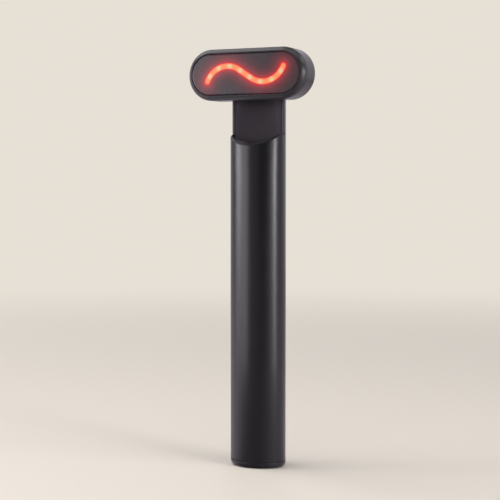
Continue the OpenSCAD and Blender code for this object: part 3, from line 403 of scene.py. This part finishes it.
rubber, shader, spot = finish("black_rubber")
dust = noise(spot, 0.0004, 4)
feed(shader, Roughness=0.68 + 0.2 * dust, Normal=bump(dust, 0.000012),
     Base_Color=dust.blend((0.009, 0.009, 0.010), (0.022, 0.022, 0.023)))
dress(anodised, "bottom_cap")
dress(rubber, "cap_gasket")


# Charging socket
# A drawn shell of nickel-plated steel, with a black tongue that carries gold contacts on both sides.
# It sits on its own small board, and a black lead runs from there to the main board.
contact_pitch, tongue_half_width, tongue_half = 0.0005, 0.00335, 0.00035
tongue_inset, contact_inset = 0.0005, 0.0006
tongue_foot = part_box("charge_port")[0].z + tongue_inset
nickel, shader, spot = finish("nickel_shell")
x, y, z = spot.axes()
streaks = noise(stretch(spot, 1, 1, 0.08), 0.0003, 3)
on_tongue = (abs(y).below(tongue_half + 0.00001) * abs(x).below(tongue_half_width + 0.00001)
             * z.above(tongue_foot - 0.00001))
contact = (on_tongue * (x / contact_pitch + 0.5).math("FRACT").below(0.52)
           * abs(x).below(6 * contact_pitch) * z.above(tongue_foot + contact_inset))
feed(shader, Roughness=0.16 + 0.16 * streaks + 0.2 * on_tongue,
     Metallic=1 - on_tongue + contact, Normal=bump(streaks, 0.000004),
     Base_Color=contact.blend(on_tongue.blend((0.62, 0.60, 0.56), (0.012, 0.012, 0.013)),
                              (0.83, 0.60, 0.22)))
dress(nickel, "charge_port")


pad_pitch = 0.004


def board(name, width, along_z=True):
    """Green solder mask with copper tracks under it and tinned pads along the tracks."""
    material, shader, spot = finish(name)
    x, _, z = spot.axes()
    lane, run = (x / width, z / pad_pitch) if along_z else (z / width, x / pad_pitch)
    place = lane.node("ShaderNodeCombineXYZ", None, {0: lane.math("FLOOR"), 1: run.math("FLOOR")})
    chance = place.node("ShaderNodeTexWhiteNoise", None, {"Vector": place})
    in_lane, in_run = (abs(share.math("FRACT") - 0.5) for share in (lane, run))
    track = in_lane.below(0.17) * chance.above(0.4)
    pad = in_lane.below(0.32) * chance.above(0.72) * in_run.below(0.09)
    weave = noise(spot, 0.0002, 2)
    mask = track.blend((0.006, 0.060, 0.032), (0.016, 0.125, 0.062))
    feed(shader, Base_Color=pad.blend(mask, (0.72, 0.70, 0.66)), Metallic=pad,
         Roughness=0.26 + 0.14 * weave + 0.05 * pad,
         Normal=bump(track + 0.6 * pad + 0.15 * weave, 0.00003))
    return material


dress(board("small_board_mask", 0.0006), "charge_board")


def insulation(name, dark, light):
    """Drawn wire insulation, slightly uneven along its length."""
    material, shader, spot = finish(name)
    waver = noise(stretch(spot, 1, 1, 0.3), 0.0008, 3)
    feed(shader, Base_Color=waver.blend(dark, light), Roughness=0.26 + 0.16 * waver,
         Normal=bump(waver, 0.00001))
    return material


dress(insulation("black_insulation", (0.008, 0.008, 0.009), (0.018, 0.018, 0.02)), "charge_leads")


# Inner frame and neck cover
# Two mouldings of the same matt black plastic. The frame slides into the sleeve and carries the
# cell, motor and board; the neck cover has the flat face, the curved step and the swivel's bearing.
moulded, shader, spot = finish("matt_moulded_black")
grain, cloud = noise(spot, 0.00014, 3), noise(spot, 0.009)
feed(shader, Roughness=0.50 + 0.12 * grain + 0.06 * cloud, Normal=bump(grain, 0.000012),
     Base_Color=cloud.blend((0.052, 0.046, 0.053), (0.064, 0.057, 0.065)))
dress(moulded, "inner_frame")


def remoulded(name, change):
    """A merged copy of a CAD node's mesh, with its corners moved a little."""
    mesh = bmesh.new()
    mesh.from_mesh(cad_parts[name].data)
    mesh.transform(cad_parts[name].matrix_world)
    bmesh.ops.remove_doubles(mesh, verts=mesh.verts[:], dist=1e-6)
    for corner in mesh.verts:
        corner.co.y = change(*corner.co)
    return mesh


flat_half_width, roll_width, roll_depth = 0.0083, 0.0012, 0.00020
step_top = 0.110                        # only the plate above the step is changed


def shallow_edge(x, y, z):
    """The plate's upright edges roll off by only a fifth of a millimetre."""
    rolled = (abs(x) - flat_half_width) / roll_width
    if rolled > 0 and 0 < y < roll_width + 1e-5 and z > step_top:
        return min(y, roll_depth * rolled ** 2)
    return y


piece(remoulded("neck_cover", shallow_edge), "neck_moulding", "handle", "neck_plastic", moulded,
      "neck_cover")


# Battery
# A rechargeable steel cell in a blue shrink sleeve that leaves its ends bare. Grey foam pads hold
# it against the sleeve's back, and a red lead runs from it to the main board.
cell_low, cell_high = (corner.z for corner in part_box("battery_cell"))
bare_foot, bare_top = 0.0004, 0.0012
wrap, shader, spot = finish("shrink_wrapped_cell")
x, y, z = spot.axes()
around = x.math("ARCTAN2", y - middle("battery_cell").y)
bare = 1 - z.above(cell_low + bare_foot) * z.below(cell_high - bare_top)
seam = abs(around - 1.2).below(0.03)
crinkle = noise(stretch(spot, 1, 1, 0.25), 0.0012, 3)
feed(shader, Metallic=bare, Roughness=0.22 + 0.15 * crinkle,
     Base_Color=bare.blend(seam.blend((0.022, 0.098, 0.270), (0.012, 0.055, 0.16)),
                           (0.56, 0.56, 0.55)),
     Normal=bump(crinkle + seam, 0.00003))
dress(wrap, "battery_cell")

foam, shader, spot = finish("grey_foam")
cells = spot.node("ShaderNodeTexVoronoi", None, {"Vector": spot, "Scale": 2600.0})
feed(shader, Base_Color=cells.blend((0.05, 0.05, 0.052), (0.17, 0.17, 0.175)),
     Roughness=0.82 + 0.12 * cells, Normal=bump(cells, 0.0001))
dress(foam, "battery_pads")
dress(insulation("red_insulation", (0.22, 0.012, 0.008), (0.34, 0.022, 0.014)), "battery_leads")


# Vibration motor
# A small drawn steel can in a rubber boot. Its shaft carries an off-centre sintered weight, turned
# on its ends.
def distance(first, second):
    """The distance that two lengths at right angles give."""
    return (first * first + second * second).math("SQRT")


steel, shader, spot = finish("drawn_steel", Metallic=1)
scratches = noise(stretch(spot, 1, 1, 0.05), 0.00025, 4)
blotch = noise(spot, 0.004)
feed(shader, Roughness=0.22 + 0.16 * scratches + 0.08 * blotch, Normal=bump(scratches, 0.000006),
     Base_Color=blotch.blend((0.47, 0.47, 0.48), (0.60, 0.60, 0.60)))
dress(steel, "motor_can")
dress(rubber, "motor_boot")

weight, shader, spot = finish("turned_brass", Metallic=1)
x, y, _ = spot.axes()
tool_marks = (distance(x, y - middle("motor_can").y) / 0.00003).math("SINE")
tarnish = noise(spot, 0.002, 3)
feed(shader, Roughness=0.22 + 0.2 * tarnish, Normal=bump(tool_marks, 0.000002),
     Base_Color=tarnish.blend((0.42, 0.29, 0.11), (0.66, 0.48, 0.20)))
dress(weight, "motor_rotor", "contact_pins")


# Main board
# A green board with its controller, charger and coil on the back, screwed to the frame and to the
# neck cover's two posts with small pan-head screws.
dress(board("main_board_mask", 0.0007), "main_board")
mark_z, mark_radius, mark_line = 0.08347, 0.0009, 0.0001    # a plain ring pressed into the coil
package, shader, spot = finish("moulded_packages")
x, _, z = spot.axes()
speckle = noise(spot, 0.0001, 2)
mark = abs(distance(x, z - mark_z) - mark_radius).below(mark_line)
feed(shader, Roughness=0.42 + 0.18 * speckle, Normal=bump(speckle - 0.4 * mark, 0.00001),
     Base_Color=mark.blend(speckle.blend((0.010, 0.010, 0.011), (0.019, 0.019, 0.020)),
                           (0.06, 0.06, 0.06)))
dress(package, "board_parts")

plated, shader, spot = finish("zinc_plated_screws", Metallic=1)
wear = noise(spot, 0.0003, 4)
feed(shader, Roughness=0.2 + 0.25 * wear, Normal=bump(wear, 0.00001),
     Base_Color=wear.blend((0.40, 0.40, 0.42), (0.68, 0.68, 0.67)))
dress(plated, "board_screws", "led_screws", "hub_screws")


# Power button
# A satin black cap with a dished face stands in its hole on the back, over a rubber seal. Its stem
# presses the red plunger of a tact switch on the main board.
button, shader, spot = finish("satin_button")
x, y, z = spot.axes()
reach = distance(x, z - middle("power_button").z)
rings = (reach / 0.00004).math("SINE") * y.above(half_depth) * reach.below(0.0031)
grain = noise(spot, 0.00016, 3)
feed(shader, Roughness=0.30 + 0.10 * grain, Normal=bump(0.6 * rings + 0.6 * grain, 0.000004),
     Base_Color=grain.blend((0.017, 0.0165, 0.018), (0.025, 0.0245, 0.026)))
dress(button, "power_button")
dress(rubber, "button_seal")
dress(package, "tact_switch")
plunger, shader, spot = finish("red_plunger")
grain = noise(spot, 0.0002, 3)
feed(shader, Roughness=0.40 + 0.12 * grain, Normal=bump(grain, 0.00001),
     Base_Color=grain.blend((0.24, 0.022, 0.018), (0.34, 0.036, 0.03)))
dress(plunger, "switch_plunger")


# Swivel
# The head turns on a hollow steel hub. A slippery white washer lies in front of the neck, and a
# thrust washer, a disc spring and a clip behind it keep the head at the angle it is set to.
turned, shader, spot = finish("turned_steel", Metallic=1)
x, y, z = spot.axes()
reach = distance(x, z - pivot_z)
lathe, smear = (reach / 0.00003 + y / 0.00005).math("SINE"), noise(spot, 0.002, 3)
feed(shader, Roughness=0.2 + 0.16 * smear, Normal=bump(lathe, 0.0000015),
     Base_Color=smear.blend((0.44, 0.44, 0.455), (0.58, 0.58, 0.585)))
dress(turned, "swivel_hub", "thrust_washer", "disc_spring", "retaining_clip")

nylon, shader, spot = finish("natural_nylon")
milk = noise(spot, 0.0012, 3)
feed(shader, Roughness=0.38 + 0.16 * milk, Normal=bump(milk, 0.00001),
     Base_Color=milk.blend((0.66, 0.64, 0.56), (0.76, 0.74, 0.68)))
dress(nylon, "front_washer", "head_socket", "loom_plug")


# Rear shell and seam gasket
# The back half of the head is a smoother, glossier moulding, with a faint unevenness in its
# reflections. A soft black gasket sits in the seam between it and the bezel.
glossy, shader, spot = finish("semi_gloss_shell", Specular_IOR_Level=0.25)
ripple, grain = noise(spot, 0.0035, 2), noise(spot, 0.00012, 2)
feed(shader, Roughness=0.25 + 0.05 * ripple + 0.05 * grain, Normal=bump(ripple + 0.02 * grain, 0.00003),
     Base_Color=ripple.blend((0.022, 0.021, 0.023), (0.029, 0.0275, 0.030)))
dress(glossy, "rear_shell")
dress(rubber, "seam_gasket")


# Diode board
# A green board across the head carries eight diodes along the wave, the wire socket on its back and
# two sprung brass pins that reach the warming film.
dress(board("diode_board_mask", 0.0008, along_z=False), "led_board")


# The wave
# The light guide runs in a wave: a straight middle and a bend at each end, the same when turned half
# round. Everything that glows is drawn along it, so its shape is worked out once for the shaders.
wave_slope, wave_turn = math.radians(33), math.radians(100)
wave_width, wave_mid, wave_bend, led_step = 0.0022, 0.0056, 0.008601, 0.004503


def wave_field(spot):
    """Distance along the wave from its middle, and the distance to its middle line."""
    x, _, z = spot.axes()
    z = z - pivot_z
    u = x * math.cos(wave_slope) - z * math.sin(wave_slope)
    v = x * math.sin(wave_slope) + z * math.cos(wave_slope)
    past = abs(u) - wave_mid / 2
    rise = wave_bend - v * u.math("SIGN")
    turn = past.math("ARCTAN2", rise)
    tip_x = past - wave_bend * math.sin(wave_turn)
    tip_y = rise - wave_bend * math.cos(wave_turn)
    on_bend = abs(distance(past, rise) - wave_bend)
    bend, straight = past.above(0), past.below(0)
    within = turn.above(0) * turn.below(wave_turn)
    across = bend * (within * on_bend + (1 - within) * distance(tip_x, tip_y)) + straight * abs(v)
    along = bend * (wave_mid / 2 + wave_bend * turn.math("MINIMUM", wave_turn)) + straight * abs(u)
    return along, across


def diode_glow(spot):
    """Distance to the nearest diode, and the distance to the wave's middle line."""
    along, across = wave_field(spot)
    aside = (along / led_step).math("FRACT") * led_step - led_step / 2
    return distance(aside, across), across


# Diodes
# White packages with a yellow phosphor window over each chip, lit behind the guide.
diodes, shader, spot = finish("lit_diodes", Emission_Strength=1.0)
near, _ = diode_glow(spot)
phosphor, speck = 1 - near.step(0.0005, 0.0007), noise(spot, 0.0002, 2)
feed(shader, Base_Color=phosphor.blend((0.75, 0.74, 0.70), (0.85, 0.62, 0.12)),
     Roughness=0.32 + 0.1 * speck,
     Emission_Color=phosphor.blend((0.25, 0.10, 0.03), (1.0, 0.82, 0.45)))
dress(diodes, "leds")


# Warming film
# An amber film with an etched copper track that runs to and fro behind the front panel.
track_pitch = 0.0011
film, shader, spot = finish("etched_film")
x, _, z = spot.axes()
swing = 0.0003 * (x / 0.0006).math("SINE")
copper = abs(((z + swing) / track_pitch).math("FRACT") - 0.5).below(0.22)
haze = noise(spot, 0.0006, 3)
feed(shader, Base_Color=copper.blend((0.42, 0.19, 0.03), (0.62, 0.25, 0.10)),
     Metallic=copper, Roughness=0.24 + 0.16 * haze, Normal=bump(copper + 0.2 * haze, 0.00002))
dress(film, "warming_film")


# Bezel
# The rim round the front, moulded in satin black with a wide, slightly domed chamfer. A ledge behind
# the panel carries it, and a skirt centres the rim in the rear shell.
end_x, pivot = 0.01395, Vector((0, 0, pivot_z))
bezel_back = -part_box("bezel")[1].y
ledge_reach, ledge_back, ledge_front = 0.00630, 0.00150, 0.00200
skirt_inside, skirt_outside, opening_reach = 0.00690, 0.00780, 0.00742
# The section as reach from the head's middle line and rise from the bezel's back: the ledge and the
# skirt, then the outer round, the dome, the front round and the fine inner round.
section = [(ledge_reach, ledge_back), (skirt_inside, ledge_back), (skirt_inside, 0),
           (skirt_outside, 0), (skirt_outside, ledge_back), (0.00903, ledge_back),
           (0.009115, 0.001535), (0.00915, 0.00162)]
for middle, height, radius, first, last in (
        (0.00880, 0.001971, 0.00035, 0, 33), (0.0054340, -0.0002162, 0.0043644, 33, 57),
        (0.0076219, 0.00315, 0.00035, 57, 90), (0.00752, 0.00340, 0.00010, 90, 180)):
    section += [(middle + radius * math.cos(turn), height + radius * math.sin(turn)) for turn in
                (math.radians(first + (last - first) * step / 6) for step in range(7))]
section += [(opening_reach, ledge_front), (ledge_reach, ledge_front)]

# The section goes round one end, along the straight, round the other end and back.
rim = bmesh.new()
corners = [bmesh.ops.create_vert(rim, co=(end_x, -bezel_back - rise, pivot_z - reach))["vert"][0]
           for reach, rise in section]
end = corners + [rim.edges.new((corner, corners[place - 1])) for place, corner in enumerate(corners)]
for side in (1, -1):
    turned = bmesh.ops.spin(rim, geom=end, cent=pivot + Vector((side * end_x, 0, 0)), axis=(0, -1, 0),
                            angle=math.pi, steps=48)
    moved = bmesh.ops.extrude_edge_only(
        rim, edges=[item for item in turned["geom_last"] if isinstance(item, bmesh.types.BMEdge)])["geom"]
    end = [item for item in moved if not isinstance(item, bmesh.types.BMFace)]
    bmesh.ops.translate(rim, vec=(-side * 2 * end_x, 0, 0),
                        verts=[item for item in end if isinstance(item, bmesh.types.BMVert)])
bmesh.ops.remove_doubles(rim, verts=rim.verts[:], dist=1e-6)

satin, shader, spot = finish("satin_bezel", Specular_IOR_Level=0.45)
grain, cloud = noise(spot, 0.00012, 3), noise(spot, 0.006)
feed(shader, Roughness=0.29 + 0.07 * grain + 0.04 * cloud, Normal=bump(grain, 0.000003),
     Base_Color=cloud.blend((0.016, 0.0145, 0.0165), (0.022, 0.0205, 0.0225)))
piece(rim, "bezel_rim", "head", "bezel_plastic", satin, "bezel")


# Front panel
# A smoked, slightly see-through plate. The light bleeds into it round the slit, so it is deep red
# along the slit and fades to a purplish grey over a few millimetres. Its outline rolls off a little.
panel_radius = (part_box("front_panel")[1].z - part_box("front_panel")[0].z) / 2
smoked, shader, spot = finish("smoked_panel", Emission_Strength=1.0)
outside = wave_field(spot)[1] - wave_width / 2
haze, dust = noise(spot, 0.005), noise(spot, 0.00014, 3)
x, _, z = spot.axes()
reach = distance((abs(x) - end_x).math("MAXIMUM", 0.0), z - pivot_z)
rolled = reach.step(panel_radius - 0.00045, panel_radius + 0.00015)
halo = 0.42 * (outside / -0.0015).math("EXPONENT") + 0.30 * (outside / -0.0003).math("EXPONENT")
feed(shader, Roughness=0.22 + 0.05 * haze + 0.06 * dust,
     Normal=bump(dust - 80 * rolled, 0.000003),
     Base_Color=outside.step(0, 0.0008).blend(
         (0.004, 0.003, 0.003), haze.blend((0.028, 0.022, 0.027), (0.034, 0.027, 0.032))),
     Emission_Color=halo.blend((0.0, 0.0, 0.0), (1.0, 0.016, 0.026)))
dress(smoked, "front_panel")


# Light guide
# A milky diffuser, flush with the panel. Each diode shows as a pale point in an orange band, and
# the guide darkens to red at its edges.
guide, shader, spot = finish("lit_diffuser", Base_Color=(0.10, 0.02, 0.01, 1), Emission_Strength=1.0)
near, across = diode_glow(spot)
point, core = 1 - near.step(0.0005, 0.0011), 1 - near.step(0.0006, 0.0024)
edge = across.step(0.00055, 0.00110)
milk = noise(spot, 0.0007, 2)
band = edge.blend((0.98, 0.26, 0.085), (0.78, 0.020, 0.018))
glow = (0.6 * core * (1 - edge)).blend(band, (0.98, 0.36, 0.16))
feed(shader, Roughness=0.28 + 0.1 * milk, Normal=bump(milk, 0.000004),
     Emission_Color=point.blend(glow, (0.68, 0.54, 0.28)))
dress(guide, "light_guide")


# Wire loom
# Four thin wires laid together pass through the hollow hub and turn down to the plug on the board.
loom, shader, spot = finish("laid_wires")
x, y, z = spot.axes()
lay = ((x.math("ARCTAN2", y) * 2 + (z + y) / 0.0008).math("SINE")).step(-0.2, 0.2)
feed(shader, Base_Color=lay.blend((0.30, 0.020, 0.014), (0.02, 0.02, 0.022)),
     Roughness=0.28 + 0.1 * lay, Normal=bump(lay, 0.00005))
dress(loom, "wire_loom")
